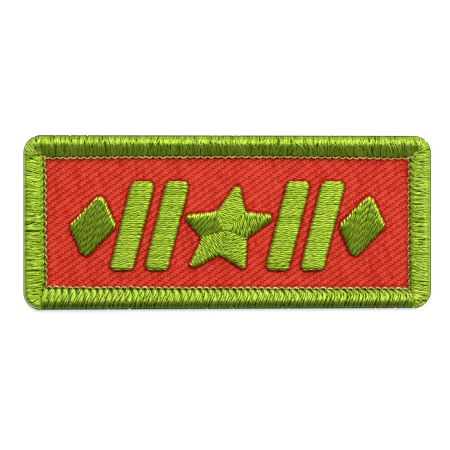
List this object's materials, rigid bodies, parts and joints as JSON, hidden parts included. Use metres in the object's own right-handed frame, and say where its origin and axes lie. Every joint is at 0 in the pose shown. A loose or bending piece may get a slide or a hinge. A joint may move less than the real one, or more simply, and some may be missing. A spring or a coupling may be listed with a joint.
{
  "type": "name patch",
  "caption": "Rectangular embroidered patch: red twill in a green wound border with round corners, and a raised satin row of slanted bars, lozenges and a star.",
  "frame": {"origin": "middle of the patch's length and of its left end's height, on the plane that the border's underside rests on", "axes": "+Z out of the face, +X along the row of embroidery to the right end as the face is seen, +Y to the top edge"},
  "size_m": [0.089, 0.038, 0.003],
  "materials": {
    "twill_cloth": "red polyester twill, matt with a slight sheen",
    "border_yarn": "lime green wound polyester yarn, glossy along the thread",
    "figure_thread": "lime green embroidery thread, glossy along the thread"
  },
  "bodies": {
    "root": {"twill_ground": "twill_cloth", "merrowed_border": "border_yarn", "satin_star": "figure_thread", "satin_bar_inner_left": "figure_thread", "satin_bar_inner_right": "figure_thread", "satin_bar_outer_left": "figure_thread", "satin_bar_outer_right": "figure_thread", "satin_lozenge_left": "figure_thread", "satin_lozenge_right": "figure_thread"}
  },
  "joints": []
}
